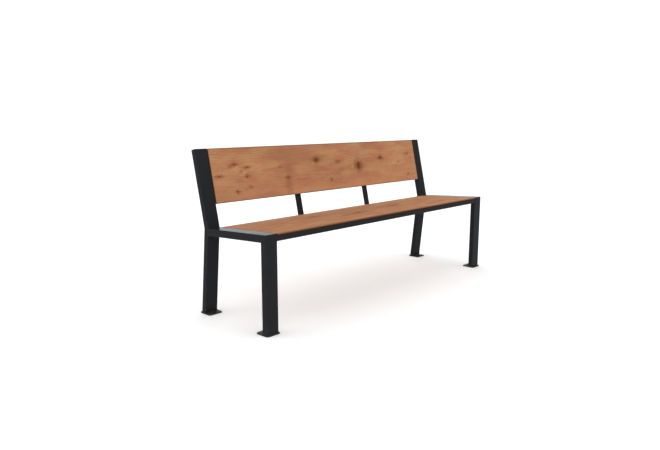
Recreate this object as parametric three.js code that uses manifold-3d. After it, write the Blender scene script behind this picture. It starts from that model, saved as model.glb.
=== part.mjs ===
// A park bench with a back, drawn in millimetres with +Z up and +X along its length.
// The sitter faces -Y, and left and right are as seen from in front, so left is -X.
// The origin is on the ground, in the middle of the bench's outline.
//
// Two end frames of flat rectangular steel tube stand on base plates. Between them hangs a seat
// frame of low rails and cross members, bolted on through end flanges. The seat and the back are
// two thin laminate panels with a wood face, screwed on from behind and from below.

import * as THREE from 'three';
import { mergeVertices } from 'three/addons/utils/BufferGeometryUtils.js';
import Module from 'manifold-3d';

const wasm = await Module();
wasm.setup();

// ---- driving dimensions ----

const LENGTH = 1800; // over the outer faces of the end frames
const SEAT_HEIGHT = 455; // top of the front legs, and of the seat's front edge
const OVERALL_HEIGHT = 805; // front edge of the upright's cap
const SEAT_DEPTH = 405; // seat panel, front to rear
const KNEE_DEPTH = 416.5; // from the front legs' face to the bend of the rear legs

const SEAT_SLOPE = THREE.MathUtils.degToRad(3.2); // falls to the rear
const BACK_LEAN = THREE.MathUtils.degToRad(12.9); // from the vertical
const LEG_SPLAY = THREE.MathUtils.degToRad(6); // rear leg, foot to the rear

const TUBE_WIDTH = 70; // every end frame member, along X
const LEG_DEPTH = 30; // legs and uprights, front to rear
const RAIL_HEIGHT = 35; // side rails
const WALL = 2;
const TUBE_RADIUS = 3;

const SEAT_TUBE_HEIGHT = 25; // rails and cross members under the seat panel
const SEAT_RAIL_DEPTH = 50;
const CROSS_WIDTH = 40;
const SUPPORT_SPACING = 560; // between the two back supports, and the cross members
const FRONT_RAIL_SETBACK = 2;

const PANEL_THICKNESS = 10;
const PANEL_GAP = 3; // between a panel's end and the end frame
const PANEL_CORNER = 2;
const BACK_PANEL_HEIGHT = 270;
const BACK_PANEL_PROUD = 2; // in front of the uprights
const BACK_PANEL_DROP = 1; // below their tops

const BASE_PLATE = { size: 80, thickness: 5, corner: 12, frontOverhang: 10, rearOverhang: 10 };
const ANCHOR_HOLE = { radius: 7, fromLeg: 20 };
const CAP_THICKNESS = 3;

const SUPPORT_BAR = { width: 40, thickness: 6, belowPanelTop: 25, bend: -8 };
const FLANGE = { length: 90, thickness: 4, corner: 4, bolts: [62, 78] };
const BACK_LUG = { width: 40, height: 40, thickness: 5, corner: 4, fromPanelEdge: 50 };
const SEAT_LUG = { width: 40, length: 60, thickness: 4, corner: 4, screwSpacing: 36 };
const LUG_SCREW_INSET = 22; // from the end frame's inner face to a lug's screw
const CROSS_SCREW_SHARES = [0.2, 0.8]; // of a cross member's length

const M6 = { radius: 3, hole: 3.4, head: 5.5, headHeight: 3.3, socket: 4, socketDepth: 1.8 };
const M8 = { radius: 4, hole: 4.4, head: 7, headHeight: 4.4, socket: 5, socketDepth: 2.4 };
const M8_LENGTH = 20;
const BUTTON_HEAD = { flat: 0.6, shoulder: 0.9, shoulderHeight: 0.55 }; // shares of the head
const SCREW_TIP = 1; // chamfer
const SCREW_BITE = 6.5; // how far a screw goes into a panel
const PILOT_DEPTH = 7;

const GAP = 0.3; // left where pieces of a turned group meet
const SIDES = { left: -1, right: 1 };

const CORNER_STEPS = 5;
const PLATE_STEPS = 8;
const ROUND_STEPS = 12;

// ---- places worked out from them ----

const innerX = LENGTH / 2 - TUBE_WIDTH;
const frameX = LENGTH / 2 - TUBE_WIDTH / 2;
const panelLength = 2 * (innerX - PANEL_GAP);
const lugScrewX = innerX - LUG_SCREW_INSET;

const kneeHeight = SEAT_HEIGHT - KNEE_DEPTH * Math.tan(SEAT_SLOPE);
const uprightLength = (OVERALL_HEIGHT - kneeHeight) / Math.cos(BACK_LEAN);
const topRearEdge =
  KNEE_DEPTH + LEG_DEPTH * Math.cos(BACK_LEAN) + uprightLength * Math.sin(BACK_LEAN);
const frontY = BASE_PLATE.frontOverhang - (topRearEdge + BASE_PLATE.frontOverhang) / 2;

// In the seat's own frame the top of the seat is z = 0 and y runs back along its slope.
const kneeY = KNEE_DEPTH / Math.cos(SEAT_SLOPE);
const backAngle = BACK_LEAN - SEAT_SLOPE;
const seatTubeTop = -PANEL_THICKNESS - GAP;
const seatTubeMiddle = seatTubeTop - SEAT_TUBE_HEIGHT / 2;
const supportPlane = PANEL_THICKNESS - BACK_PANEL_PROUD + GAP; // front face of the supports
const supportFootY =
  kneeY + supportPlane / Math.cos(backAngle) + SUPPORT_BAR.bend * Math.tan(backAngle);
const rearRailBack = supportFootY - GAP;
const flangeBoltPlaces = {
  front: FLANGE.bolts.map((y) => FRONT_RAIL_SETBACK + y),
  rear: FLANGE.bolts.map((y) => rearRailBack - y),
};
const crossStart = FRONT_RAIL_SETBACK + SEAT_RAIL_DEPTH + GAP;
const crossEnd = rearRailBack - SEAT_RAIL_DEPTH - GAP;
const crossScrewYs = CROSS_SCREW_SHARES.map((share) => crossStart + share * (crossEnd - crossStart));
const seatLugY = SEAT_DEPTH / 2;
const seatLugScrewYs = [-0.5, 0.5].map((step) => seatLugY + step * SEAT_LUG.screwSpacing);

// In the back's own frame z runs up the upright from the knee and y = 0 is the uprights'
// front face.
const backPanelMiddle = uprightLength - BACK_PANEL_DROP - BACK_PANEL_HEIGHT / 2;
const backScrewZs = [-1, 1].map(
  (way) => backPanelMiddle + way * (BACK_PANEL_HEIGHT / 2 - BACK_LUG.fromPanelEdge),
);

// ---- materials ----

const steelPaint = new THREE.MeshStandardMaterial({ color: 0x26282a, roughness: 0.55, metalness: 0.1 });
const woodFace = new THREE.MeshStandardMaterial({ color: 0xaf7b5a, roughness: 0.6, metalness: 0 });
const zincSteel = new THREE.MeshStandardMaterial({ color: 0x8d9092, roughness: 0.4, metalness: 0.9 });

// ---- shapes ----

function roundedRectangle(width, height, radius, outline = new THREE.Shape()) {
  const x = width / 2 - radius;
  const y = height / 2 - radius;
  const corners = [[x, y], [-x, y], [-x, -y], [x, -y]];
  corners.forEach(([cx, cy], quarter) => {
    outline.absarc(cx, cy, radius, (quarter * Math.PI) / 2, ((quarter + 1) * Math.PI) / 2);
  });
  outline.closePath();
  return outline;
}

// A tube along +Z. Each end is a plane that contains the X direction: its z grows by the slope
// for each millimetre of y.
function tube({ width, depth, length, startSlope = 0, endSlope = 0 }) {
  const section = roundedRectangle(width, depth, TUBE_RADIUS);
  const bore = new THREE.Path();
  section.holes.push(
    roundedRectangle(width - 2 * WALL, depth - 2 * WALL, TUBE_RADIUS - WALL, bore),
  );
  const geometry = new THREE.ExtrudeGeometry(section, {
    depth: length,
    bevelEnabled: false,
    curveSegments: CORNER_STEPS,
  });
  const position = geometry.attributes.position;
  for (let i = 0; i < position.count; i += 1) {
    const slope = position.getZ(i) > length / 2 ? endSlope : startSlope;
    position.setZ(i, position.getZ(i) + slope * position.getY(i));
  }
  geometry.computeVertexNormals();
  return geometry;
}

// The same tube along +Y, where a slope above zero makes an end longer at the bottom.
function tubeAlongY(options) {
  return tube(options).rotateX(-Math.PI / 2);
}

function tubeAlongX({ length, height, depth }) {
  const geometry = tube({ width: height, depth, length });
  return geometry.translate(0, 0, -length / 2).rotateY(Math.PI / 2);
}

// A flat plate in XY, centred, from z = 0 up. Each hole is [x, y, radius].
function plate(width, height, thickness, corner, holes = []) {
  const outline = roundedRectangle(width, height, corner);
  for (const [x, y, radius] of holes) {
    outline.holes.push(new THREE.Path().absarc(x, y, radius, 0, 2 * Math.PI, true));
  }
  return new THREE.ExtrudeGeometry(outline, {
    depth: thickness,
    bevelEnabled: false,
    curveSegments: PLATE_STEPS,
  });
}

// A rod along one axis, centred on a point, to cut holes with.
function rod(axis, radius, length, [x, y, z]) {
  const geometry = new THREE.CylinderGeometry(radius, radius, length, ROUND_STEPS);
  if (axis === 'x') geometry.rotateZ(Math.PI / 2);
  if (axis === 'z') geometry.rotateX(Math.PI / 2);
  return geometry.translate(x, y, z);
}

function toManifold(geometry) {
  const bare = geometry.clone();
  bare.deleteAttribute('normal');
  bare.deleteAttribute('uv');
  const welded = mergeVertices(bare);
  return new wasm.Manifold(
    new wasm.Mesh({
      numProp: 3,
      vertProperties: Float32Array.from(welded.attributes.position.array),
      triVerts: Uint32Array.from(welded.index.array),
    }),
  );
}

function cutAway(geometry, cutters) {
  let body = toManifold(geometry);
  for (const cutter of cutters) body = body.subtract(toManifold(cutter));
  const { vertProperties, triVerts } = body.getMesh();
  const result = new THREE.BufferGeometry();
  result.setAttribute('position', new THREE.BufferAttribute(vertProperties, 3));
  result.setIndex(new THREE.BufferAttribute(triVerts, 1));
  result.computeVertexNormals();
  return result;
}

// A button-head screw along +Z: the head's seat is z = 0 and the shank runs up from it.
function screwGeometry(size, length) {
  const profile = [
    [0, -size.headHeight],
    [BUTTON_HEAD.flat * size.head, -size.headHeight],
    [BUTTON_HEAD.shoulder * size.head, -BUTTON_HEAD.shoulderHeight * size.headHeight],
    [size.head, 0],
    [size.radius, 0],
    [size.radius, length - SCREW_TIP],
    [size.radius - SCREW_TIP, length],
    [0, length],
  ].map(([r, y]) => new THREE.Vector2(r, y));
  const body = new THREE.LatheGeometry(profile, ROUND_STEPS).rotateX(Math.PI / 2);
  const acrossCorners = size.socket / Math.cos(Math.PI / 6);
  const socket = new THREE.CylinderGeometry(
    acrossCorners / 2, acrossCorners / 2, 2 * size.socketDepth, 6,
  );
  socket.rotateX(Math.PI / 2).translate(0, 0, -size.headHeight);
  return cutAway(body, [socket]);
}

function mesh(name, geometry, material, position = [0, 0, 0]) {
  const result = new THREE.Mesh(geometry, material);
  result.name = name;
  result.position.set(...position);
  return result;
}

// ---- end frames ----

function frontLeg(side, x) {
  const drop = LEG_DEPTH * Math.tan(SEAT_SLOPE) + RAIL_HEIGHT / Math.cos(SEAT_SLOPE);
  const slope = -drop / LEG_DEPTH;
  const clearance = GAP * Math.hypot(1, slope);
  const length = SEAT_HEIGHT - BASE_PLATE.thickness - drop / 2 - clearance;
  const geometry = tube({ width: TUBE_WIDTH, depth: LEG_DEPTH, length, endSlope: slope });
  const place = [x, frontY + LEG_DEPTH / 2, BASE_PLATE.thickness];
  return mesh(`${side}_front_leg`, geometry, steelPaint, place);
}

// The leg runs from the base plate up and forward to the knee, where it meets the upright in
// a mitre on the line that halves the bend.
const halfBend = (LEG_SPLAY + BACK_LEAN) / 2;

function rearLeg(side, x) {
  const footZ = BASE_PLATE.thickness + GAP;
  const frontFaceLength = (kneeHeight - footZ) / Math.cos(LEG_SPLAY);
  const fromFoot = (LEG_DEPTH / 2) * Math.tan(LEG_SPLAY);
  const fromKnee = (LEG_DEPTH / 2) * Math.tan(halfBend);
  const length = frontFaceLength + fromFoot - fromKnee - GAP / 2;
  const geometry = tube({
    width: TUBE_WIDTH,
    depth: LEG_DEPTH,
    length,
    startSlope: -Math.tan(LEG_SPLAY),
    endSlope: -Math.tan(halfBend),
  });
  const footY = KNEE_DEPTH + (kneeHeight - footZ) * Math.tan(LEG_SPLAY);
  const middle = (LEG_DEPTH / 2) / Math.cos(LEG_SPLAY);
  const leg = mesh(`${side}_rear_leg`, geometry, steelPaint, [x, frontY + footY + middle, footZ]);
  leg.rotation.x = LEG_SPLAY;
  return leg;
}

// Its foot is the other half of the knee's mitre.
function backUpright(side, x) {
  const start = (LEG_DEPTH / 2) * Math.tan(halfBend) + GAP / 2;
  const end = uprightLength - CAP_THICKNESS - GAP;
  const geometry = tube({
    width: TUBE_WIDTH,
    depth: LEG_DEPTH,
    length: end - start,
    startSlope: Math.tan(halfBend),
  });
  return mesh(`${side}_back_upright`, geometry, steelPaint, [x, LEG_DEPTH / 2, start]);
}

function uprightCap(side, x) {
  const geometry = plate(TUBE_WIDTH, LEG_DEPTH, CAP_THICKNESS, TUBE_RADIUS);
  const place = [x, LEG_DEPTH / 2, uprightLength - CAP_THICKNESS];
  return mesh(`${side}_upright_cap`, geometry, steelPaint, place);
}

// The side rail meets the front leg in a mitre, stops against the rear leg's front face and
// has threaded holes in its inner wall for the flange bolts.
function sideRail(side, sign) {
  const mitreEnd = (LEG_DEPTH + RAIL_HEIGHT * Math.sin(SEAT_SLOPE)) / Math.cos(SEAT_SLOPE);
  const rearSlope = Math.tan(LEG_SPLAY + SEAT_SLOPE);
  const start = mitreEnd / 2;
  const end = kneeY + (RAIL_HEIGHT / 2) * rearSlope - GAP / Math.cos(LEG_SPLAY + SEAT_SLOPE);
  const geometry = tubeAlongY({
    width: TUBE_WIDTH,
    depth: RAIL_HEIGHT,
    length: end - start,
    startSlope: mitreEnd / RAIL_HEIGHT,
    endSlope: rearSlope,
  });
  const innerWall = -sign * (TUBE_WIDTH - WALL) / 2;
  const boltZ = seatTubeMiddle + RAIL_HEIGHT / 2;
  const holes = [...flangeBoltPlaces.front, ...flangeBoltPlaces.rear].map(
    (y) => rod('x', M8.hole, 2 * WALL, [innerWall, y - start, boltZ]),
  );
  const place = [sign * frameX, start, -RAIL_HEIGHT / 2];
  return mesh(`${side}_side_rail`, cutAway(geometry, holes), steelPaint, place);
}

function basePlates(side, x) {
  const { size, thickness, corner, frontOverhang, rearOverhang } = BASE_PLATE;
  const rearLegFoot = KNEE_DEPTH + (kneeHeight - thickness) * Math.tan(LEG_SPLAY);
  const rearLegBack = rearLegFoot + LEG_DEPTH / Math.cos(LEG_SPLAY);
  const frontMiddle = size / 2 - frontOverhang;
  const rearMiddle = rearLegBack + rearOverhang - size / 2;
  const frontHole = [0, LEG_DEPTH + ANCHOR_HOLE.fromLeg - frontMiddle, ANCHOR_HOLE.radius];
  const rearHole = [0, rearLegFoot - ANCHOR_HOLE.fromLeg - rearMiddle, ANCHOR_HOLE.radius];
  const front = plate(size, size, thickness, corner, [frontHole]);
  const rear = plate(size, size, thickness, corner, [rearHole]);
  return [
    mesh(`${side}_front_base_plate`, front, steelPaint, [x, frontY + frontMiddle, 0]),
    mesh(`${side}_rear_base_plate`, rear, steelPaint, [x, frontY + rearMiddle, 0]),
  ];
}

// ---- seat frame ----

function seatRails() {
  const length = 2 * (innerX - 2 * GAP - FLANGE.thickness);
  const geometry = tubeAlongX({ length, height: SEAT_TUBE_HEIGHT, depth: SEAT_RAIL_DEPTH });
  const frontMiddle = FRONT_RAIL_SETBACK + SEAT_RAIL_DEPTH / 2;
  const rearMiddle = rearRailBack - SEAT_RAIL_DEPTH / 2;
  return [
    mesh('front_seat_rail', geometry, steelPaint, [0, frontMiddle, seatTubeMiddle]),
    mesh('rear_seat_rail', geometry.clone(), steelPaint, [0, rearMiddle, seatTubeMiddle]),
  ];
}

// A welded flange at each end of each rail, standing in the YZ plane, with its bolts.
function railFlange(name, sign, startY, boltYs) {
  const middle = startY + FLANGE.length / 2;
  const holes = boltYs.map((y) => [y - middle, 0, M8.hole]);
  const geometry = plate(FLANGE.length, SEAT_TUBE_HEIGHT, FLANGE.thickness, FLANGE.corner, holes);
  geometry.translate(0, 0, -FLANGE.thickness / 2).rotateX(Math.PI / 2).rotateZ(Math.PI / 2);
  const x = sign * (innerX - GAP - FLANGE.thickness / 2);
  return mesh(name, geometry, steelPaint, [x, middle, seatTubeMiddle]);
}

function flangeBolt(name, sign, y) {
  const bolt = mesh(name, screwGeometry(M8, M8_LENGTH), zincSteel);
  bolt.rotation.y = (sign * Math.PI) / 2;
  bolt.position.set(sign * (innerX - 2 * GAP - FLANGE.thickness), y, seatTubeMiddle);
  return bolt;
}

function crossMember(side, sign) {
  const length = crossEnd - crossStart;
  const geometry = tubeAlongY({ width: CROSS_WIDTH, depth: SEAT_TUBE_HEIGHT, length });
  const holes = crossScrewYs.map(
    (y) => rod('z', M6.hole, 2 * SEAT_TUBE_HEIGHT, [0, y - crossStart, 0]),
  );
  const place = [(sign * SUPPORT_SPACING) / 2, crossStart, seatTubeMiddle];
  return mesh(`${side}_cross_member`, cutAway(geometry, holes), steelPaint, place);
}

// A tab welded to the side rail's inner face, under the end of the seat panel.
function seatLug(side, sign) {
  const width = SEAT_LUG.width - GAP;
  const middle = innerX - SEAT_LUG.width / 2 - GAP / 2;
  const holes = seatLugScrewYs.map((y) => [sign * (lugScrewX - middle), y - seatLugY, M6.hole]);
  const geometry = plate(width, SEAT_LUG.length, SEAT_LUG.thickness, SEAT_LUG.corner, holes);
  const place = [sign * middle, seatLugY, seatTubeTop - SEAT_LUG.thickness];
  return mesh(`${side}_seat_lug`, geometry, steelPaint, place);
}

// A flat bar, bent where it leaves the rear rail, that carries the middle of the back panel.
function backSupport(side, sign) {
  const { width, thickness, belowPanelTop, bend } = SUPPORT_BAR;
  const bottom = seatTubeTop - SEAT_TUBE_HEIGHT;
  const run = new THREE.Vector2(Math.sin(backAngle), Math.cos(backAngle));
  const bendPoint = new THREE.Vector2(supportFootY, bend);
  const onKneeLine = (bendPoint.x - kneeY) * run.x + bendPoint.y * run.y;
  const top = bendPoint.clone().addScaledVector(run, uprightLength - belowPanelTop - onKneeLine);
  const rearBend = new THREE.Vector2(thickness, -thickness * Math.tan(backAngle / 2));
  const acrossTop = new THREE.Vector2(run.y, -run.x).multiplyScalar(thickness);
  const outline = new THREE.Shape([
    new THREE.Vector2(supportFootY, bottom),
    new THREE.Vector2(supportFootY + thickness, bottom),
    bendPoint.clone().add(rearBend),
    top.clone().add(acrossTop),
    top,
    bendPoint,
  ]);
  const geometry = new THREE.ExtrudeGeometry(outline, { depth: width, bevelEnabled: false });
  geometry.translate(0, 0, -width / 2).rotateX(Math.PI / 2).rotateZ(Math.PI / 2);
  const toBackFrame = (z) => {
    const y = supportPlane + thickness / 2;
    const { x: sin, y: cos } = run;
    return [0, kneeY + y * cos + z * sin, z * cos - y * sin];
  };
  const holes = backScrewZs.map((z) => {
    const hole = rod('y', M6.hole, 4 * thickness, [0, 0, 0]).rotateX(-backAngle);
    return hole.translate(...toBackFrame(z));
  });
  const place = [(sign * SUPPORT_SPACING) / 2, 0, 0];
  return mesh(`${side}_back_support`, cutAway(geometry, holes), steelPaint, place);
}

// ---- panels and what holds them ----

function seatPanel() {
  const middle = SEAT_DEPTH / 2;
  const board = plate(panelLength, SEAT_DEPTH, PANEL_THICKNESS, PANEL_CORNER);
  const places = [-1, 1].flatMap((sign) => [
    ...crossScrewYs.map((y) => [(sign * SUPPORT_SPACING) / 2, y]),
    ...seatLugScrewYs.map((y) => [sign * lugScrewX, y]),
  ]);
  const pilots = places.map(([x, y]) => rod('z', M6.hole, 2 * PILOT_DEPTH, [x, y - middle, 0]));
  const place = [0, middle, -PANEL_THICKNESS];
  return mesh('seat_panel', cutAway(board, pilots), woodFace, place);
}

// The board is drawn flat and stood up, so that its face looks forward and its pilot holes
// open at the back.
function backPanel() {
  const board = plate(panelLength, BACK_PANEL_HEIGHT, PANEL_THICKNESS, PANEL_CORNER);
  const places = [-1, 1].flatMap((sign) =>
    backScrewZs.flatMap((z) => [
      [(sign * SUPPORT_SPACING) / 2, z - backPanelMiddle],
      [sign * lugScrewX, z - backPanelMiddle],
    ]),
  );
  const pilots = places.map(([x, z]) => rod('z', M6.hole, 2 * PILOT_DEPTH, [x, z, 0]));
  const geometry = cutAway(board, pilots).rotateX(Math.PI / 2);
  const place = [0, PANEL_THICKNESS - BACK_PANEL_PROUD, backPanelMiddle];
  return mesh('back_panel', geometry, woodFace, place);
}

// Tabs welded to the uprights' inner faces, behind the ends of the back panel.
function backLug(name, sign, z) {
  const width = BACK_LUG.width - GAP;
  const middle = innerX - BACK_LUG.width / 2 - GAP / 2;
  const hole = [sign * (lugScrewX - middle), 0, M6.hole];
  const geometry = plate(width, BACK_LUG.height, BACK_LUG.thickness, BACK_LUG.corner, [hole]);
  geometry.rotateX(Math.PI / 2);
  const place = [sign * middle, supportPlane + BACK_LUG.thickness, z];
  return mesh(name, geometry, steelPaint, place);
}

function backScrew(name, x, z, holderThickness) {
  const seat = supportPlane + holderThickness + GAP;
  const length = holderThickness + 2 * GAP + SCREW_BITE;
  const screw = mesh(name, screwGeometry(M6, length), zincSteel, [x, seat, z]);
  screw.rotation.x = Math.PI / 2;
  return screw;
}

function seatScrew(name, x, y, holderThickness) {
  const seat = seatTubeTop - holderThickness - GAP;
  const length = holderThickness + 2 * GAP + SCREW_BITE;
  return mesh(name, screwGeometry(M6, length), zincSteel, [x, y, seat]);
}

// ---- assembly ----

const bench = new THREE.Group();

const seat = new THREE.Group();
seat.position.set(0, frontY, SEAT_HEIGHT);
seat.rotation.x = -SEAT_SLOPE;
bench.add(seat);

const back = new THREE.Group();
back.position.set(0, kneeY, 0);
back.rotation.x = -backAngle;
seat.add(back);

seat.add(...seatRails(), seatPanel());
back.add(backPanel());

for (const [side, sign] of Object.entries(SIDES)) {
  const x = sign * frameX;
  bench.add(frontLeg(side, x), rearLeg(side, x), ...basePlates(side, x));
  seat.add(sideRail(side, sign), crossMember(side, sign), seatLug(side, sign));
  seat.add(backSupport(side, sign));
  back.add(backUpright(side, x), uprightCap(side, x));

  const flangeStarts = { front: FRONT_RAIL_SETBACK, rear: rearRailBack - FLANGE.length };
  for (const [end, boltYs] of Object.entries(flangeBoltPlaces)) {
    const start = flangeStarts[end];
    seat.add(railFlange(`${side}_${end}_rail_flange`, sign, start, boltYs));
    boltYs.forEach((y, i) => {
      seat.add(flangeBolt(`${side}_${end}_flange_bolt_${i + 1}`, sign, y));
    });
  }

  crossScrewYs.forEach((y, i) => {
    const screwX = (sign * SUPPORT_SPACING) / 2;
    seat.add(seatScrew(`${side}_cross_member_screw_${i + 1}`, screwX, y, SEAT_TUBE_HEIGHT));
  });
  seatLugScrewYs.forEach((y, i) => {
    const screwX = sign * lugScrewX;
    seat.add(seatScrew(`${side}_seat_lug_screw_${i + 1}`, screwX, y, SEAT_LUG.thickness));
  });

  backScrewZs.forEach((z, i) => {
    const level = ['lower', 'upper'][i];
    const lugX = sign * lugScrewX;
    const supportX = (sign * SUPPORT_SPACING) / 2;
    back.add(backLug(`${side}_${level}_back_lug`, sign, z));
    back.add(backScrew(`${side}_${level}_lug_screw`, lugX, z, BACK_LUG.thickness));
    back.add(backScrew(`${side}_${level}_support_screw`, supportX, z, SUPPORT_BAR.thickness));
  });
}

export default bench;
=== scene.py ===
"""A park bench with a back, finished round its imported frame.

Metres, +Z up, +X along the bench; a sitter faces -Y. The steel pieces are the frame's own shapes with
their joints closed, their edges rounded and their welds added. The boards and the screws are new.
"""

import math

import bmesh
import bpy
from mathutils import Matrix, Vector, noise


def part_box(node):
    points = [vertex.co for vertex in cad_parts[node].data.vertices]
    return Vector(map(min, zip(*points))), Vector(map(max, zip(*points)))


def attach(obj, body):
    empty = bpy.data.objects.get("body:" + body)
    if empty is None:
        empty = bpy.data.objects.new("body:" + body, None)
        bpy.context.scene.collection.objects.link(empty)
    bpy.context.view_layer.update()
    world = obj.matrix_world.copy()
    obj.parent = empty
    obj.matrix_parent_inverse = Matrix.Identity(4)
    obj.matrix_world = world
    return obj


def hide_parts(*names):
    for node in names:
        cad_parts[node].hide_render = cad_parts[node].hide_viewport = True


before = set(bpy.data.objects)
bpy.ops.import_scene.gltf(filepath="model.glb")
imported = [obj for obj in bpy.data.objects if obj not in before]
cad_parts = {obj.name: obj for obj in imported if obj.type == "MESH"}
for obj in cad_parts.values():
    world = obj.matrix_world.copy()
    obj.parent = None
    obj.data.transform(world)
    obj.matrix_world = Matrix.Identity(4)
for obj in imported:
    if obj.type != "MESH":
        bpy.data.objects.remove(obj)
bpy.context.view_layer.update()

SIDES = {"left": -1, "right": 1}
JOINT_GAP = 0.0003  # what the frame leaves between two welded pieces
MITRE_GROWTH = 1.58 * JOINT_GAP  # the gap in the front corner's mitre, measured up the leg
RAIL_END_GROWTH = 1.01 * JOINT_GAP  # the gap at the rear leg, measured along the sloping side rail
WELD_DISTANCE = 1e-6
FLAT_ANGLE = math.radians(0.6)
SHARP_ANGLE = math.radians(35)
STEEL_EDGE = 0.0006  # radius on the edges of cut plates
NARROW_FACE = 0.0012  # a face narrower than this lies on a tightly rounded corner


def linear(code):
    """The scene colour of an sRGB hex code."""
    shares = [int(code[i : i + 2], 16) / 255 for i in (0, 2, 4)]
    return (*[s / 12.92 if s <= 0.04045 else ((s + 0.055) / 1.055) ** 2.4 for s in shares], 1.0)


# ---- materials ----


class Shader:
    """A Principled material whose node tree is built one short call at a time."""

    def __init__(self, name):
        self.material = bpy.data.materials.new(name)
        self.material.use_nodes = True
        self.tree = self.material.node_tree
        self.surface = self.tree.nodes["Principled BSDF"]

    def add(self, kind, inputs=(), output=0, **settings):
        """An output of a new node, whose inputs are linked or set."""
        node = self.tree.nodes.new("ShaderNode" + kind)
        for name, value in settings.items():
            setattr(node, name, value)
        for key, value in dict(inputs).items():
            if isinstance(value, bpy.types.NodeSocket):
                self.tree.links.new(value, node.inputs[key])
            elif value is not None:
                node.inputs[key].default_value = value
        return node.outputs[output]

    def math(self, operation, a, b=None, clamp=False):
        return self.add("Math", {0: a, 1: b}, operation=operation, use_clamp=clamp)

    def vector(self, operation, a, b):
        return self.add("VectorMath", {0: a, 1: b}, operation=operation)

    def noise(self, place, scale, detail=2.0, roughness=0.5):
        inputs = {"Vector": place, "Scale": scale, "Detail": detail, "Roughness": roughness}
        return self.add("TexNoise", inputs, "Fac")

    def smooth(self, value, low, high, to_low=0.0, to_high=1.0):
        """A soft step: to_low where the value is under low, to_high where it is over high."""
        inputs = {0: value, 1: low, 2: high, 3: to_low, 4: to_high}
        return self.add("MapRange", inputs, interpolation_type="SMOOTHSTEP")

    def mix(self, share, a, b):
        return self.add("Mix", {0: share, 6: a, 7: b}, 2, data_type="RGBA")

    def bump(self, height, strength, distance, normal=None):
        inputs = {"Height": height, "Strength": strength, "Distance": distance, "Normal": normal}
        return self.add("Bump", inputs)

    def finish(self, **sockets):
        """Sets the surface's sockets: a link where the value is a node's output."""
        for name, value in sockets.items():
            socket = self.surface.inputs[name.replace("_", " ")]
            if isinstance(value, bpy.types.NodeSocket):
                self.tree.links.new(value, socket)
            else:
                socket.default_value = value
        return self.material


def powder_coat():
    """Charcoal powder coat: fine grain, a slight orange peel, rubbed edges and dust low down."""
    s = Shader("powder_coat")
    place = s.add("TexCoord", output="Object")
    height = s.add("SeparateXYZ", {0: place}, "Z")
    edge = s.add("Attribute", output="Fac", attribute_name="edge")
    grain = s.noise(place, 1400, 2)
    peel = s.noise(place, 160, 1)
    patches = s.noise(place, 9, 4, 0.6)
    scuffs = s.smooth(s.noise(place, 60, 5, 0.7), 0.55, 0.75)
    rubbed = s.math("MULTIPLY", edge, s.smooth(s.noise(place, 35, 3), 0.4, 0.7, 0.0, 0.4))
    on_plates = s.smooth(height, 0.004, 0.009, 0.09, 0.0)
    on_feet = s.smooth(height, 0.0, 0.08, 0.03, 0.0)
    cloudy = s.smooth(s.noise(place, 70, 5, 0.7), 0.3, 0.7, 0.4, 1.0)
    dust = s.math("MULTIPLY", s.math("ADD", on_plates, on_feet), cloudy)

    colour = s.mix(patches, linear("1e1f21"), linear("232426"))
    colour = s.mix(s.smooth(grain, 0.45, 0.7, 0, 0.5), colour, linear("333438"))
    colour = s.mix(rubbed, colour, linear("313234"))
    colour = s.mix(dust, colour, linear("77736b"))
    roughness = s.smooth(patches, 0.3, 0.7, 0.13, 0.18)
    roughness = s.math("ADD", roughness, s.math("MULTIPLY", scuffs, 0.05))
    roughness = s.math("ADD", roughness, s.math("MULTIPLY", edge, 0.22), clamp=True)
    normal = s.bump(peel, 0.14, 0.0004)
    normal = s.bump(grain, 0.22, 0.0002, normal)
    s.surface.inputs["Specular IOR Level"].default_value = 0.02
    return s.finish(Base_Color=colour, Roughness=roughness, Normal=normal)


def zinc_plate():
    """Satin zinc on steel, with faint cloudy passivation and turning marks."""
    s = Shader("zinc_plate")
    place = s.add("TexCoord", output="Object")
    clouds = s.noise(place, 240, 4, 0.65)
    marks = s.noise(place, 2600, 2)
    colour = s.mix(clouds, linear("a9adb0"), linear("c3c1b6"))
    colour = s.mix(s.math("MULTIPLY", marks, 0.3), colour, linear("8f9294"))
    roughness = s.smooth(clouds, 0.3, 0.7, 0.28, 0.44)
    normal = s.bump(marks, 0.15, 0.0001)
    s.surface.inputs["Metallic"].default_value = 1.0
    return s.finish(Base_Color=colour, Roughness=roughness, Normal=normal)


def dark_core():
    """The pressed core on a board's edges: brown paper layers, with painted light and shade that make
    it lighter towards the top face and darker below.
    """
    s = Shader("dark_core")
    place = s.add("Attribute", output="Vector", attribute_name="board")
    layers = s.noise(s.vector("MULTIPLY", place, (6, 6, 900)), 1.0, 2)
    saw = s.noise(s.vector("MULTIPLY", place, (900, 900, 20)), 1.0, 2)
    depth = s.add("SeparateXYZ", {0: place}, "Z")
    colour = s.mix(layers, linear("2b1d14"), linear("453122"))
    colour = s.mix(s.math("MULTIPLY", saw, 0.25), colour, linear("5a4230"))
    # Painted light and shade: the edge is lit towards the top face and shaded towards the bottom.
    colour = s.mix(s.smooth(depth, -0.003, 0.005, 0, 0.85), colour, linear("9a6a4c"))
    roughness = s.smooth(layers, 0.3, 0.7, 0.7, 0.8)
    normal = s.bump(saw, 0.25, 0.0001)
    s.surface.inputs["Specular IOR Level"].default_value = 0.0
    return s.finish(Base_Color=colour, Roughness=roughness, Normal=normal)


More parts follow.
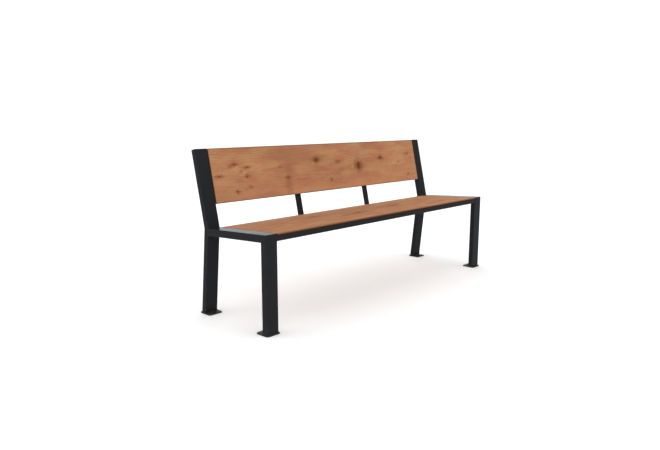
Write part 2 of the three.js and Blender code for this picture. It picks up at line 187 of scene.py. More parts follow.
# Places are (along, across) from the board's middle, then half width, half height and strength.
BACK_KNOTS = [
    (-0.790, -0.005, 0.022, 0.007, 0.75),
    (-0.715, 0.040, 0.012, 0.008, 0.55),
    (-0.685, 0.048, 0.018, 0.010, 0.95),
    (-0.610, 0.032, 0.018, 0.008, 0.75),
    (-0.650, 0.010, 0.010, 0.012, 0.45),
    (-0.615, -0.015, 0.016, 0.008, 0.75),
    (-0.605, -0.070, 0.014, 0.007, 0.45),
    (-0.690, -0.090, 0.010, 0.011, 0.9),
    (-0.385, 0.020, 0.010, 0.008, 0.55),
    (-0.340, -0.040, 0.017, 0.013, 0.75),
    (-0.110, 0.045, 0.022, 0.018, 1.0),
    (0.070, 0.027, 0.020, 0.009, 0.75),
    (-0.010, -0.075, 0.010, 0.011, 0.75),
    (0.245, -0.006, 0.030, 0.035, 0.95),
    (0.465, 0.030, 0.021, 0.016, 0.85),
    (0.640, -0.005, 0.014, 0.008, 0.6),
    (0.745, 0.045, 0.022, 0.009, 0.75),
    (0.780, 0.020, 0.012, 0.008, 0.5),
    (0.730, -0.090, 0.015, 0.010, 0.45),
]
BACK_STAINS = {
    "olive": [
        (-0.37, 0.095, 0.14, 0.040, 0.75),
        (-0.79, -0.12, 0.09, 0.05, 0.5),
        (-0.11, 0.05, 0.11, 0.02, 0.5),
    ],
    "red": [
        (-0.25, 0.080, 0.13, 0.05, 0.7),
        (-0.50, -0.120, 0.10, 0.014, 0.8),
        (0.40, 0.105, 0.16, 0.018, 0.7),
        (-0.345, -0.085, 0.028, 0.055, 0.8),
        (-0.325, 0.000, 0.034, 0.040, 0.9),
        (0.06, -0.080, 0.07, 0.035, 0.6),
        (-0.62, 0.125, 0.12, 0.012, 0.6),
    ],
    "dull_and_painted_shade": [
        (-0.11, 0.03, 0.10, 0.05, 0.3),
        (-0.325, 0.01, 0.022, 0.045, 0.8),
        (-0.34, -0.085, 0.02, 0.05, 0.6),
    ],
    "bright_and_painted_light": [
        # The first spot, a band along the whole lower edge of the back, is painted light: it lifts the
        # lower part that the seat leaves in shade.
        (0.0, -0.15, 3.0, 0.065, 1.0),
        (0.60, -0.09, 0.26, 0.06, 0.6),
        (-0.79, -0.06, 0.05, 0.04, 0.5),
        (-0.74, -0.11, 0.07, 0.03, 0.7),
        (-0.55, 0.02, 0.14, 0.09, 0.25),
        (0.60, 0.03, 0.18, 0.08, 0.3),
    ],
    "pale": [
        (-0.677, 0.028, 0.016, 0.012, 1.0),
        (-0.660, 0.012, 0.014, 0.012, 1.0),
        (-0.643, -0.004, 0.014, 0.012, 1.0),
        (-0.626, -0.024, 0.014, 0.009, 0.8),
        (-0.755, 0.014, 0.035, 0.008, 0.8),
        (0.190, -0.010, 0.012, 0.014, 0.8),
        (0.610, -0.012, 0.090, 0.016, 1.0),
        (0.775, 0.030, 0.030, 0.020, 0.6),
    ],
}
SEAT_KNOTS = [
    (-0.670, -0.035, 0.030, 0.012, 0.60),
    (-0.460, 0.090, 0.020, 0.014, 0.60),
    (-0.340, 0.070, 0.045, 0.018, 0.65),
    (-0.230, -0.060, 0.030, 0.014, 0.45),
    (-0.100, -0.035, 0.045, 0.018, 0.72),
    (0.270, 0.020, 0.045, 0.018, 0.75),
    (0.400, -0.060, 0.025, 0.012, 0.45),
    (0.585, 0.055, 0.018, 0.012, 0.75),
    (0.610, -0.095, 0.016, 0.012, 0.75),
    (-0.050, 0.125, 0.024, 0.014, 0.60),
    (0.450, -0.130, 0.026, 0.014, 0.60),
]
SEAT_STAINS = {
    "olive": [
        (-0.32, 0.06, 0.15, 0.03, 0.5),
        (-0.10, -0.03, 0.14, 0.03, 0.5),
        (0.27, 0.03, 0.16, 0.03, 0.5),
    ],
    "red": [
        (-0.70, 0.04, 0.10, 0.05, 0.5),
        (0.05, 0.10, 0.18, 0.04, 0.5),
        (0.61, -0.09, 0.08, 0.04, 0.6),
    ],
    "dull_and_painted_shade": [
        # The first two dull spots, a wide one over most of the seat and one near its middle, are
        # painted shade: they darken the seat where it takes more light than the back.
        (-0.25, 0.08, 0.80, 0.22, 0.75),
        (-0.17, -0.02, 0.10, 0.10, 1.0),
        (0.10, 0.02, 0.08, 0.05, 0.9),
    ],
    "bright_and_painted_light": [(-0.60, -0.13, 0.20, 0.03, 0.2)],
    "pale": [(0.02, -0.10, 0.12, 0.02, 0.3)],
}
# Two tones also carry painted light: the bright tone lifts a shaded band on the back, and the dull tone
# is painted shade over much of the seat.
STAIN_TONES = {
    "bright_and_painted_light": (0.62, "cb8f69"),
    "dull_and_painted_shade": (0.42, "8a5c3c"),
    "olive": (0.55, "7f6240"),
    "red": (0.60, "965c48"),
}
SWELL_FALL = 0.22  # the swell of the grain reaches further out than a knot's heart, which falls by 1
SMEAR_STRETCH = (0.40, 1.30, 0)  # a smear is a knot drawn out along the grain
KNOT_SHAKE = (0.042, 0.030, 0)  # how far noise moves the outline of a knot, along and across
STAIN_SHAKE = (0.090, 0.035, 0)


def knot_group():
    """One knot: the swell of the grain around it, its dark heart, and the smear along the grain."""
    tree = bpy.data.node_groups.new("knot", "ShaderNodeTree")
    for name in ("Board", "Place", "Spread"):
        tree.interface.new_socket(name, in_out="INPUT", socket_type="NodeSocketVector")
    tree.interface.new_socket("Strength", in_out="INPUT", socket_type="NodeSocketFloat")
    for name in ("Swell", "Heart", "Smear"):
        tree.interface.new_socket(name, in_out="OUTPUT", socket_type="NodeSocketFloat")
    given, result = tree.nodes.new("NodeGroupInput"), tree.nodes.new("NodeGroupOutput")

    def calc(kind, operation, *values, output=0):
        node = tree.nodes.new("ShaderNode" + kind)
        node.operation = operation
        for socket, value in zip(node.inputs, values):
            if isinstance(value, bpy.types.NodeSocket):
                tree.links.new(value, socket)
            else:
                socket.default_value = value
        return node.outputs[output]

    away = calc("VectorMath", "SUBTRACT", given.outputs["Board"], given.outputs["Place"])
    away = calc("VectorMath", "MULTIPLY", away, given.outputs["Spread"])
    stretched = calc("VectorMath", "MULTIPLY", away, SMEAR_STRETCH)
    bells = {"Swell": (away, SWELL_FALL), "Heart": (away, 1.0), "Smear": (stretched, 1.0)}
    for name, (vector, fall) in bells.items():
        distance = calc("VectorMath", "LENGTH", vector, output="Value")
        squared = calc("Math", "MULTIPLY", distance, distance)
        share = calc("Math", "EXPONENT", calc("Math", "MULTIPLY", squared, -fall))
        height = calc("Math", "MULTIPLY", share, given.outputs["Strength"])
        tree.links.new(height, result.inputs[name])
    return tree


def spot(s, knot_tree, place, numbers):
    """A knot group's node at one spot of the board."""
    along, across, half_width, half_height, strength = numbers
    node = s.tree.nodes.new("ShaderNodeGroup")
    node.node_tree = knot_tree
    s.tree.links.new(place, node.inputs["Board"])
    node.inputs["Place"].default_value = (along, across, 0)
    node.inputs["Spread"].default_value = (1 / half_width, 1 / half_height, 0)
    node.inputs["Strength"].default_value = strength
    return node.outputs


def shaken(s, flat, place, reach):
    """Places on the board moved a little by noise, so that a spot laid there gets a ragged outline."""
    along = s.noise(s.vector("MULTIPLY", place, (45, 90, 0)), 1.0, 5, 0.65)
    across = s.noise(s.vector("MULTIPLY", place, (45, 90, 9)), 1.0, 5, 0.65)
    shake = s.vector("SUBTRACT", s.add("CombineXYZ", {0: along, 1: across}), (0.5, 0.5, 0))
    return s.vector("ADD", flat, s.vector("MULTIPLY", shake, reach))


def all_knots(s, knot_tree, place, knots):
    """The knots together: their swells summed, and the strongest heart and smear."""
    swell, heart, smear = 0.0, 0.0, 0.0
    for numbers in knots:
        knot = spot(s, knot_tree, place, numbers)
        swell = s.math("ADD", knot["Swell"], swell)
        heart = s.math("MAXIMUM", knot["Heart"], heart)
        smear = s.math("MAXIMUM", knot["Smear"], smear)
    return swell, heart, smear


def all_stains(s, knot_tree, place, stains):
    """How strong each tone of stain is: its strongest spot."""
    strength = {}
    for tone, spots in stains.items():
        strength[tone] = 0.0
        for numbers in spots:
            here = spot(s, knot_tree, place, numbers)["Heart"]
            strength[tone] = s.math("MAXIMUM", here, strength[tone])
    return strength


def late_wood(s, place, swell):
    """The dark late wood of the growth rings, which bend round the knots."""
    across = s.add("SeparateXYZ", {0: place}, "Y")
    slow = s.noise(s.vector("MULTIPLY", place, (1.6, 7, 0)), 1.0, 2)
    quick = s.noise(s.vector("MULTIPLY", place, (9, 30, 0)), 1.0, 3)
    rings = s.math("ADD", s.math("MULTIPLY", across, 70), s.math("MULTIPLY", slow, 8))
    rings = s.math("ADD", rings, s.math("MULTIPLY", quick, 1.3))
    rings = s.math("ADD", rings, s.math("MULTIPLY", swell, 1.7))
    turn = s.math("FRACT", rings)
    return s.math("MULTIPLY", s.smooth(turn, 0.25, 0.86), s.smooth(turn, 0.88, 1.0, 1.0, 0.0))


def plain_wood(s, place):
    """The ground colour: warm and cool blotches, dim patches and lighter streaks."""
    blotch = s.noise(s.vector("MULTIPLY", place, (6, 20, 0)), 1.0, 4, 0.6)
    dim = s.noise(s.vector("MULTIPLY", place, (7, 34, 7.7)), 1.0, 4, 0.65)
    streak = s.noise(s.vector("MULTIPLY", place, (7, 150, 0)), 1.0, 2)
    colour = s.mix(s.smooth(blotch, 0.32, 0.68), linear("a96f51"), linear("b2865d"))
    colour = s.mix(s.smooth(dim, 0.52, 0.74, 0, 0.5), colour, linear("875a3c"))
    return s.mix(s.smooth(streak, 0.46, 0.75, 0, 0.28), colour, linear("c2936d"))


def grained(s, colour, place, late, fibres, pores):
    """Late wood, short dashes, fibres and pores over a colour."""
    clear = s.smooth(s.noise(s.vector("MULTIPLY", place, (3.5, 14, 0)), 1.0, 2), 0.4, 0.7, 0.04, 0.27)
    dash = s.noise(s.vector("MULTIPLY", place, (16, 170, 3.1)), 1.0, 2)
    colour = s.mix(s.math("MULTIPLY", late, clear), colour, linear("865338"))
    colour = s.mix(s.smooth(dash, 0.62, 0.8, 0, 0.32), colour, linear("744830"))
    colour = s.mix(s.smooth(fibres, 0.38, 0.68, 0, 0.26), colour, linear("85553a"))
    return s.mix(s.math("MULTIPLY", pores, 0.35), colour, linear("6a4029"))


def knotted(s, colour, heart, smear):
    """Knots over a colour: a smear along the grain, a soft halo, a fine outline and a dark heart."""
    fine_line = s.math("MULTIPLY", s.smooth(heart, 0.06, 0.22), s.smooth(heart, 0.26, 0.46, 1, 0))
    colour = s.mix(s.smooth(smear, 0.05, 0.95, 0, 0.45), colour, linear("7d4d34"))
    colour = s.mix(s.smooth(heart, 0.02, 0.5, 0, 0.42), colour, linear("84502f"))
    colour = s.mix(s.math("MULTIPLY", fine_line, 0.22), colour, linear("6f4029"))
    colour = s.mix(s.smooth(heart, 0.40, 0.80, 0, 0.85), colour, linear("6c3c22"))
    return s.mix(s.smooth(heart, 0.74, 0.82, 0, 0.35), colour, linear("55301c"))


def knotty_wood(name, knots, stains, knot_tree, half_height, shift):
    """The printed wood face: stains, some of which are painted light and shade, bent grain, knots, pale
    curls and painted shade along its long edges.
    """
    s = Shader(name)
    on_board = s.add("Attribute", output="Vector", attribute_name="board")
    flat = s.vector("MULTIPLY", on_board, (1, 1, 0))
    place = s.vector("ADD", flat, (shift, shift, 0))
    swell, heart, smear = all_knots(s, knot_tree, shaken(s, flat, place, KNOT_SHAKE), knots)
    stain = all_stains(s, knot_tree, shaken(s, flat, place, STAIN_SHAKE), stains)
    late = late_wood(s, place, swell)
    fibres = s.noise(s.vector("MULTIPLY", place, (18, 1100, 0)), 1.0, 4, 0.65)
    pores = s.smooth(s.noise(s.vector("MULTIPLY", place, (70, 1900, 0)), 1.0, 2), 0.58, 0.72)

    colour = plain_wood(s, place)
    for tone, (share, code) in STAIN_TONES.items():
        colour = s.mix(s.math("MULTIPLY", stain[tone], share), colour, linear(code))
    colour = grained(s, colour, place, late, fibres, pores)
    colour = knotted(s, colour, heart, smear)
    curls = s.noise(s.vector("MULTIPLY", place, (55, 110, 0)), 1.0, 3, 0.55)
    pale = s.math("MULTIPLY", stain["pale"], s.smooth(curls, 0.38, 0.68, 0, 0.8))
    colour = s.mix(pale, colour, linear("c69a76"))
    # Painted shade: the face darkens within a few millimetres of its long edges, where the eased edge
    # turns into shade.
    across = s.math("ABSOLUTE", s.add("SeparateXYZ", {0: on_board}, "Y"))
    to_shaded_edge = s.math("SUBTRACT", half_height, across)
    colour = s.mix(s.smooth(to_shaded_edge, 0.0010, 0.0075, 0.75, 0.0), colour, linear("5a4c40"))

    roughness = s.smooth(s.math("ADD", fibres, late), 0.3, 1.3, 0.64, 0.74)
    normal = s.bump(s.math("MULTIPLY", pores, -1.0), 0.25, 0.0001)
    normal = s.bump(late, 0.08, 0.0001, normal)
    s.surface.inputs["Specular IOR Level"].default_value = 0.03
    return s.finish(Base_Color=colour, Roughness=roughness, Normal=normal)


# ---- mesh helpers ----


def new_piece(name, bm, materials):
    """A shown object made from a bmesh, riding on the bench."""
    mesh = bpy.data.meshes.new(name)
    bm.to_mesh(mesh)
    bm.free()
    for material in materials:
        mesh.materials.append(material)
    piece = bpy.data.objects.new(name, mesh)
    bpy.context.scene.collection.objects.link(piece)
    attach(piece, "root")
    return piece


def shade(piece, bevel=0.0):
    """Smooth shading that keeps flat faces flat, with the sharp edges rounded first if asked."""
    for polygon in piece.data.polygons:
        polygon.use_smooth = True
    piece.data.set_sharp_from_angle(angle=SHARP_ANGLE)
    if bevel:
        rounding = piece.modifiers.new("rounding", "BEVEL")
        rounding.width = bevel
        rounding.segments = 3
        rounding.limit_method = "ANGLE"
        rounding.angle_limit = SHARP_ANGLE
        rounding.harden_normals = True
    else:
        weights = piece.modifiers.new("weights", "WEIGHTED_NORMAL")
        weights.keep_sharp = True


def cad_shape(node):
    """A CAD node's surface with its corners welded and its flat faces joined up."""
    bm = bmesh.new()
    bm.from_mesh(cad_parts[node].data)
    bmesh.ops.remove_doubles(bm, verts=bm.verts, dist=WELD_DISTANCE)
    bmesh.ops.dissolve_limit(bm, angle_limit=FLAT_ANGLE, verts=bm.verts, edges=bm.edges)
    return bm


def turned_box(node, turn):
    """The lowest and highest corner of a CAD node in turned axes."""
    places = [turn.transposed() @ v.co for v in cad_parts[node].data.vertices]
    return [Vector([pick(p[i] for p in places) for i in range(3)]) for pick in (min, max)]


def long_axis(bm):
    """The direction of the longest edge, pointing up, back or to the right."""
    longest = max(bm.edges, key=lambda edge: edge.calc_length())
    axis = (longest.verts[1].co - longest.verts[0].co).normalized()
    return axis if sum(axis) > 0 else -axis


def mark_edges(bm):
    """Notes on each face whether it is a narrow one on a rounded corner, where paint rubs."""
    edge = bm.faces.layers.float.new("edge")
    for face in bm.faces:
        shortest = min(e.calc_length() for e in face.edges)
        face[edge] = 1.0 if shortest < NARROW_FACE else 0.0


# ---- steel ----


def steel_tube(node, material, lower_growth, upper_growth):
    """A CAD tube whose two ends grow to close the gaps to the pieces they are welded to."""
    bm = cad_shape(node)
    axis = long_axis(bm)
    middle = sum((v.co.dot(axis) for v in bm.verts)) / len(bm.verts)
    for vert in bm.verts:
        upper = vert.co.dot(axis) > middle
        vert.co += axis * (upper_growth if upper else -lower_growth)
    mark_edges(bm)
    piece = new_piece(node + "_coated", bm, [material])
    shade(piece)
    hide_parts(node)


def steel_plate(node, material):
    """A CAD plate with its cut edges rounded."""
    bm = cad_shape(node)
    mark_edges(bm)
    piece = new_piece(node + "_coated", bm, [material])
    shade(piece, STEEL_EDGE)
    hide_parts(node)


# ---- boards ----

BOARD_ARRIS = 0.0008
BOARD_CORNER = 0.002
CORNER_STEPS = 8
ARRIS_STEPS = 4


def board_turn(node):
    """The turn from a board's own axes: along it, across it and out of its face."""
    bm = cad_shape(node)
    normal = max(bm.faces, key=lambda face: face.calc_area()).normal.copy()
    out = normal if normal.z > 0 else -normal
    along = Vector((1, 0, 0))
    bm.free()
    return Matrix((along, out.cross(along), out)).transposed()


def outline(width, height, radius, steps):
    """A rounded rectangle as points in XY, counter-clockwise."""
    points = []
    for quarter, (sx, sy) in enumerate(((1, 1), (-1, 1), (-1, -1), (1, -1))):
        for step in range(steps + 1):
            angle = (quarter + step / steps) * math.pi / 2
            x = sx * (width / 2 - radius) + radius * math.cos(angle)
            y = sy * (height / 2 - radius) + radius * math.sin(angle)
            points.append((x, y))
    return points


def bridge(bm, rings):
    """Closes the bands between neighbouring rings of vertices with quads, and returns these."""
    faces = []
    for lower, upper in zip(rings, rings[1:]):
        for i in range(len(lower)):
            j = (i + 1) % len(lower)
            faces.append(bm.faces.new((lower[i], lower[j], upper[j], upper[i])))
    return faces


def board(node, make_wood, core_material):
    """A laminate board with small rounded corners, eased edges and a wood face on both sides."""
    turn = board_turn(node)
    low, high = turned_box(node, turn)
    size = high - low
    face_material = make_wood(size.y / 2)
    levels = []
    for end in (-1, 1):
        angles = [step / ARRIS_STEPS * math.pi / 2 for step in range(ARRIS_STEPS + 1)]
        for angle in angles if end > 0 else reversed(angles):
            inset = BOARD_ARRIS * (1 - math.cos(angle))
            z = end * (size.z / 2 - BOARD_ARRIS + BOARD_ARRIS * math.sin(angle))
            levels.append((inset, z))
    bm = bmesh.new()
    rings = []
    for inset, z in levels:
        points = outline(size.x - 2 * inset, size.y - 2 * inset, BOARD_CORNER - inset, CORNER_STEPS)
        rings.append([bm.verts.new((x, y, z)) for x, y in points])
    for face in bridge(bm, rings):
        face.material_index = 1
    bm.faces.new(rings[-1])
    bm.faces.new(list(reversed(rings[0])))
    local = bm.verts.layers.float_vector.new("board")
    for vert in bm.verts:
        vert[local] = vert.co.copy()
    bm.transform(turn.to_4x4() @ Matrix.Translation((low + high) / 2))
    piece = new_piece(node + "_laminate", bm, [face_material, core_material])
    shade(piece)
    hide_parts(node)


# ---- screws ----

ROUND_STEPS = 36
SCREWS = {
    "M6": {"head": 0.0055, "height": 0.0033, "shank": 0.003, "socket": 0.004, "depth": 0.0018},
    "M8": {"head": 0.007, "height": 0.0044, "shank": 0.004, "socket": 0.005, "depth": 0.0024},
}
THREAD_PITCH = {"M6": 0.001, "M8": 0.00125}
THREAD_ROOT = 0.9  # of the shank's radius
SHANK_TIP = 0.7
HEAD_FLAT = 0.6  # of the head's radius
HEAD_DOME = 0.86  # of the head's height
DOME_STEPS = 6
SOCKET_FLOOR = 0.86  # of the socket's width
SOCKET_MOUTH = 1.06
SOCKET_TIP = 0.15  # how much deeper the drilled middle is
SOCKET_EDGE = 0.0002
RIM_START = 0.97  # of the head's height
UNDERSIDE = 0.98  # of the head's radius
THREAD_STOP = 1.5  # pitches before the shank's end


def screw_place(node):
    """Where a CAD screw's head is seated, its direction into the work, and its shank's length."""
    bm = bmesh.new()
    bm.from_mesh(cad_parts[node].data)
    points = [v.co.copy() for v in bm.verts]
    axis = long_axis(bm)
    bm.free()
    middle = sum(points, Vector()) / len(points)
    low = min(points, key=lambda p: p.dot(axis))
    high = max(points, key=lambda p: p.dot(axis))
    span = high.dot(axis) - low.dot(axis)

    def spread(end):
        """How far the screw reaches from its axis in the quarter at one end."""
        near = [p for p in points if abs((p - end).dot(axis)) < 0.25 * span]
        return max(((p - middle) - (p - middle).dot(axis) * axis).length for p in near)

    into = axis if spread(low) > spread(high) else -axis
    head = min(points, key=lambda p: p.dot(into))
    box_low, box_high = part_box(node)
    centre = (box_low + box_high) / 2
    return centre + into * (head - centre).dot(into), into, span


def hexagon_ring(across_flats, steps_per_side):
    """Points round a hexagon, the same number on each side."""
    corner = across_flats / math.sqrt(3)
    corners = [Vector((math.cos(a), math.sin(a))) * corner for a in (i * math.pi / 3 for i in range(6))]
    ring = []
    for i, start in enumerate(corners):
        end = corners[(i + 1) % 6]
        ring += [start.lerp(end, step / steps_per_side) for step in range(steps_per_side)]
    return ring


def screw(node, size, material):
    """A button-head socket screw: domed head, hex socket and a threaded shank."""
    dims = SCREWS[size]
    start, into, span = screw_place(node)
    bm = bmesh.new()

    def ring(radius, z):
        angles = [2 * math.pi * i / ROUND_STEPS for i in range(ROUND_STEPS)]
        return [bm.verts.new((radius * math.cos(a), radius * math.sin(a), z)) for a in angles]

    def hex_ring(scale, z):
        points = hexagon_ring(dims["socket"] * scale, ROUND_STEPS // 6)
        return [bm.verts.new((p.x, p.y, z)) for p in points]

    depth = dims["depth"]
    tip = bm.verts.new((0, 0, depth + SOCKET_TIP * dims["socket"]))
    rings = [hex_ring(SOCKET_FLOOR, depth), hex_ring(1.0, depth - SOCKET_EDGE / 2)]
    rings += [hex_ring(1.0, SOCKET_EDGE), hex_ring(SOCKET_MOUTH, 0)]
    flat = HEAD_FLAT * dims["head"]
    rings.append(ring(flat, 0))
    for step in range(1, DOME_STEPS + 1):
        angle = step / DOME_STEPS * math.pi / 2
        radius = flat + (dims["head"] - flat) * math.sin(angle)
        rings.append(ring(radius, dims["height"] * HEAD_DOME * (1 - math.cos(angle))))
    rings.append(ring(dims["head"], dims["height"] * RIM_START))
    rings.append(ring(dims["head"] * UNDERSIDE, dims["height"]))
    rings.append(ring(dims["shank"], dims["height"]))
    pitch = THREAD_PITCH[size]
    z = dims["height"] + pitch
    while z < span - THREAD_STOP * pitch:
        rings.append(ring(dims["shank"], z))
        rings.append(ring(dims["shank"] * THREAD_ROOT, z + pitch / 2))
        z += pitch
    rings.append(ring(dims["shank"] * SHANK_TIP, span))
    for i in range(ROUND_STEPS):
        bm.faces.new((tip, rings[0][(i + 1) % ROUND_STEPS], rings[0][i]))
    bridge(bm, [list(reversed(r)) for r in rings])
    bm.faces.new(rings[-1])
    bmesh.ops.recalc_face_normals(bm, faces=bm.faces)
    turn = into.to_track_quat("Z", "X").to_matrix().to_4x4()
    bm.transform(Matrix.Translation(start) @ turn)
    piece = new_piece(node + "_zinc", bm, [material])
    shade(piece)
    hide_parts(node)


# ---- welds ----

BEAD_RADIUS = 0.0022
BEAD_STEP = 0.0006
BEAD_PITCH = 0.0024
BEAD_SIDES = 8
BEAD_SCALLOP = 0.13  # of its radius
BEAD_WANDER = 0.10
WANDER_SCALE = 90  # per metre
BEAD_END = 0.35  # how thin a bead starts, as a share of its radius
BEAD_TAPER = 0.004  # the length in which it gets thicker
BEAD_START = 0.001  # how far above a rail's lower edge an upright bead begins
TUBE_CORNER = 0.003
TUBE_CORNER_STEPS = 4
PLATE_CORNER = 0.004


def walk(points, closed, step):
    """Points at even steps along a polyline, and the direction at each."""
    legs = list(zip(points, points[1:] + points[:1])) if closed else list(zip(points, points[1:]))
    places = []
    for start, end in legs:
        length = (end - start).length
        count = max(1, round(length / step))
        for i in range(count):
            places.append((start.lerp(end, i / count), (end - start).normalized()))
    if not closed:
        places.append((points[-1], places[-1][1]))
    return places


def weld_bead(name, points, out, material, closed=False):
    """A fillet weld along a line: overlapping scallops that the coat has softened."""
    bm = bmesh.new()
    places = walk(points, closed, BEAD_STEP)
    rings = []
    for index, (place, along) in enumerate(places):
        run = index * BEAD_STEP
        scallop = 1 + BEAD_SCALLOP * abs(math.sin(math.pi * run / BEAD_PITCH))
        wander = 1 + BEAD_WANDER * noise.noise(place * WANDER_SCALE)
        to_end = min(index, len(places) - 1 - index) * BEAD_STEP
        taper = 1.0 if closed else min(1.0, BEAD_END + to_end / BEAD_TAPER)
        radius = BEAD_RADIUS * scallop * wander * taper
        up = Vector(out)
        side = along.cross(up).normalized()
        lift = side.cross(along)
        ring = []
        for i in range(BEAD_SIDES):
            angle = 2 * math.pi * i / BEAD_SIDES
            offset = side * math.cos(angle) + lift * math.sin(angle)
            ring.append(bm.verts.new(place + offset * radius))
        rings.append(ring)
    if closed:
        rings.append(rings[0])
    bridge(bm, rings)
    if not closed:
        bm.faces.new(rings[0])
        bm.faces.new(rings[-1])
    bmesh.ops.recalc_face_normals(bm, faces=bm.faces)
    shade(new_piece(name, bm, [material]))


def foot_weld(side, end, material):
    """The weld round a leg's foot, on its base plate."""
    bm = cad_shape(f"{side}_{end}_leg")
    ground = min(v.co.z for v in bm.verts)
    foot = [v.co.copy() for v in bm.verts if v.co.z < ground + JOINT_GAP]
    bm.free()
    low = Vector([min(p[i] for p in foot) for i in range(3)])
    high = Vector([max(p[i] for p in foot) for i in range(3)])
    middle, size = (low + high) / 2, high - low
    points = outline(size.x, size.y, TUBE_CORNER, TUBE_CORNER_STEPS)
    path = [middle + Vector((x, y, 0)) for x, y in points]
    weld_bead(f"{side}_{end}_foot_weld", path, (0, 0, 1), material, closed=True)


def tab_weld(side, tab, turn, side_x, material):
    """The weld under one of an end frame's tabs, where it stands on the frame's inward side."""
    low, high = turned_box(f"{side}_{tab}", turn)
    ends = (low.y + PLATE_CORNER, high.y - PLATE_CORNER)
    path = [turn @ Vector((side_x, y, low.z)) for y in ends]
    weld_bead(f"{side}_{tab}_weld", path, -turn.col[2], material)


def frame_welds(side, seat_turn, back_turn, material):
    """The welds of one end frame: its inside corners, and the tabs that hold the boards."""
    low, high = turned_box(f"{side}_side_rail", seat_turn)
    width = (low.x + TUBE_CORNER, high.x - TUBE_CORNER)

    front_y = turned_box(f"{side}_front_leg", Matrix.Identity(3))[1].y
    up = seat_turn.col[2]
    front_z = (low.z - up.y * front_y) / up.z
    path = [Vector((x, front_y, front_z)) for x in width]
    weld_bead(f"{side}_front_corner_weld", path, (0, 1, -1), material)

    path = [seat_turn @ Vector((x, high.y, low.z)) for x in width]
    weld_bead(f"{side}_rear_corner_weld", path, (0, -1, -1), material)

    side_x = low.x if SIDES[side] > 0 else high.x  # the side that faces the middle of the bench
    tab_weld(side, "seat_lug", seat_turn, side_x, material)
    tab_weld(side, "lower_back_lug", back_turn, side_x, material)
    tab_weld(side, "upper_back_lug", back_turn, side_x, material)


def seat_frame_welds(side, seat_turn, material):
    """The welds of one half of the seat frame: flanges, cross member and back support."""
    rails = {end: turned_box(f"{end}_seat_rail", seat_turn) for end in ("front", "rear")}
    outer = 1 if SIDES[side] > 0 else 0
    bottom, top = rails["rear"][0].z, rails["rear"][1].z - BEAD_RADIUS
    facing = {"front": rails["front"][1].y, "rear": rails["rear"][0].y}  # the rails' inward sides

    def on_seat(*corners):
        return [seat_turn @ Vector(corner) for corner in corners]

    for end, y in facing.items():
        x = rails[end][outer].x
        path = on_seat((x, y, bottom + BEAD_START), (x, y, top))
        weld_bead(f"{side}_{end}_flange_weld", path, (-SIDES[side], 0, 0), material)
        cross = turned_box(f"{side}_cross_member", seat_turn)
        low, high = cross[0].x, cross[1].x
        path = on_seat((low, y, top), (low, y, bottom), (high, y, bottom), (high, y, top))
        weld_bead(f"{side}_{end}_cross_member_weld", path, (0, 1, 0.01), material)

    support = turned_box(f"{side}_back_support", seat_turn)
    rear = rails["rear"][1].y
    for name, x in zip(("left", "right"), (support[0].x, support[1].x)):
        path = on_seat((x, rear, bottom + BEAD_START), (x, rear, top))
        weld_bead(f"{side}_back_support_{name}_weld", path, (0, 1, 0), material)


# ---- assembly ----

PLATES = (
    "upright_cap", "front_base_plate", "rear_base_plate", "back_support", "seat_lug",
    "front_rail_flange", "rear_rail_flange", "lower_back_lug", "upper_back_lug",
)
BOARD_SCREWS = (
    "cross_member_screw_1", "cross_member_screw_2", "seat_lug_screw_1", "seat_lug_screw_2",
    "lower_lug_screw", "upper_lug_screw", "lower_support_screw", "upper_support_screw",
)

paint = powder_coat()
zinc = zinc_plate()
core = dark_core()
knot_tree = knot_group()


def seat_wood(half_height):
    """The seat's wood face, for a board of this half height."""
    return knotty_wood("seat_wood", SEAT_KNOTS, SEAT_STAINS, knot_tree, half_height, 3.7)


def back_wood(half_height):
    """The back's wood face, for a board of this half height."""
    return knotty_wood("back_wood", BACK_KNOTS, BACK_STAINS, knot_tree, half_height, 1.3)


board("seat_panel", seat_wood, core)
board("back_panel", back_wood, core)
for rail in ("front_seat_rail", "rear_seat_rail"):
    steel_tube(rail, paint, JOINT_GAP, JOINT_GAP)
for side in SIDES:
    steel_tube(f"{side}_front_leg", paint, 0, MITRE_GROWTH)
    steel_tube(f"{side}_rear_leg", paint, JOINT_GAP, JOINT_GAP / 2)
    steel_tube(f"{side}_back_upright", paint, JOINT_GAP / 2, JOINT_GAP)
    steel_tube(f"{side}_side_rail", paint, 0, RAIL_END_GROWTH)
    steel_tube(f"{side}_cross_member", paint, JOINT_GAP, JOINT_GAP)
    for plate in PLATES:
        steel_plate(f"{side}_{plate}", paint)
    for place in BOARD_SCREWS:
        screw(f"{side}_{place}", "M6", zinc)
    for end in ("front", "rear"):
        for i in (1, 2):
            screw(f"{side}_{end}_flange_bolt_{i}", "M8", zinc)
        foot_weld(side, end, paint)
    frame_welds(side, board_turn("seat_panel"), board_turn("back_panel"), paint)
    seat_frame_welds(side, board_turn("seat_panel"), paint)


# ---- floor, light and camera ----

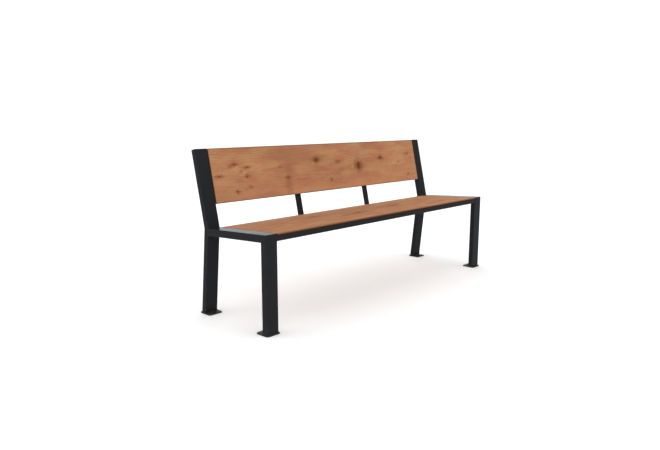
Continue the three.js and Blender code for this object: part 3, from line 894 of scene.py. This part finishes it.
FLOOR_REACH = 40
ROOM_LIGHT = 1.15
SOFTBOX_SIZE = 2.6
SOFTBOXES = {  # place and radiance
    "left_softbox": ((-3.6, 1.2, 2.8), 0.8),
    "front_softbox": ((1.2, -3.6, 3.4), 0.8),
    "back_softbox": ((2.6, 3.6, 2.4), 1.0),
}
BENCH_MIDDLE = Vector((0, 0, 0.45))
CAMERA_PLACE = (-2.5305, -2.1987, 0.9477)
CAMERA_ANGLES = (79.94, 0, -46.37)  # degrees
CAMERA_LENS = 32.8
CAMERA_SENSOR = 36


def floor():
    """A wide, plain, pale floor."""
    s = Shader("studio_floor")
    place = s.add("TexCoord", output="Object")
    tone = s.noise(place, 1.5, 3)
    colour = s.mix(tone, linear("f6f6f6"), linear("fafafa"))
    glow = {"Emission_Color": (1, 1, 1, 1), "Emission_Strength": 0.05}
    material = s.finish(Base_Color=colour, Roughness=0.9, **glow)
    bm = bmesh.new()
    bmesh.ops.create_grid(bm, x_segments=8, y_segments=8, size=FLOOR_REACH)
    mesh = bpy.data.meshes.new("studio_floor")
    bm.to_mesh(mesh)
    bm.free()
    mesh.materials.append(material)
    plane = bpy.data.objects.new("studio_floor", mesh)
    bpy.context.scene.collection.objects.link(plane)


def softbox(name, place, radiance):
    """A square area light aimed at the middle of the bench."""
    lamp = bpy.data.lights.new(name, "AREA")
    lamp.shape = "SQUARE"
    lamp.size = SOFTBOX_SIZE
    lamp.energy = radiance * math.pi * SOFTBOX_SIZE * SOFTBOX_SIZE
    box = bpy.data.objects.new(name, lamp)
    box.location = place
    aim = BENCH_MIDDLE - Vector(place)
    box.rotation_euler = aim.to_track_quat("-Z", "Y").to_euler()
    bpy.context.scene.collection.objects.link(box)


def lights():
    """A white room with three softboxes."""
    world = bpy.data.worlds.new("studio")
    world.use_nodes = True
    room = world.node_tree.nodes["Background"]
    room.inputs["Color"].default_value = (1, 1, 1, 1)
    room.inputs["Strength"].default_value = ROOM_LIGHT
    bpy.context.scene.world = world
    for name, (place, radiance) in SOFTBOXES.items():
        softbox(name, place, radiance)
    bpy.context.scene.view_settings.view_transform = "Standard"


def camera():
    """A view from the front left, a little above the bench."""
    data = bpy.data.cameras.new("camera")
    data.sensor_width = CAMERA_SENSOR
    data.lens = CAMERA_LENS
    eye = bpy.data.objects.new("camera", data)
    eye.location = CAMERA_PLACE
    eye.rotation_euler = [math.radians(angle) for angle in CAMERA_ANGLES]
    bpy.context.scene.collection.objects.link(eye)
    bpy.context.scene.camera = eye


floor()
lights()
camera()
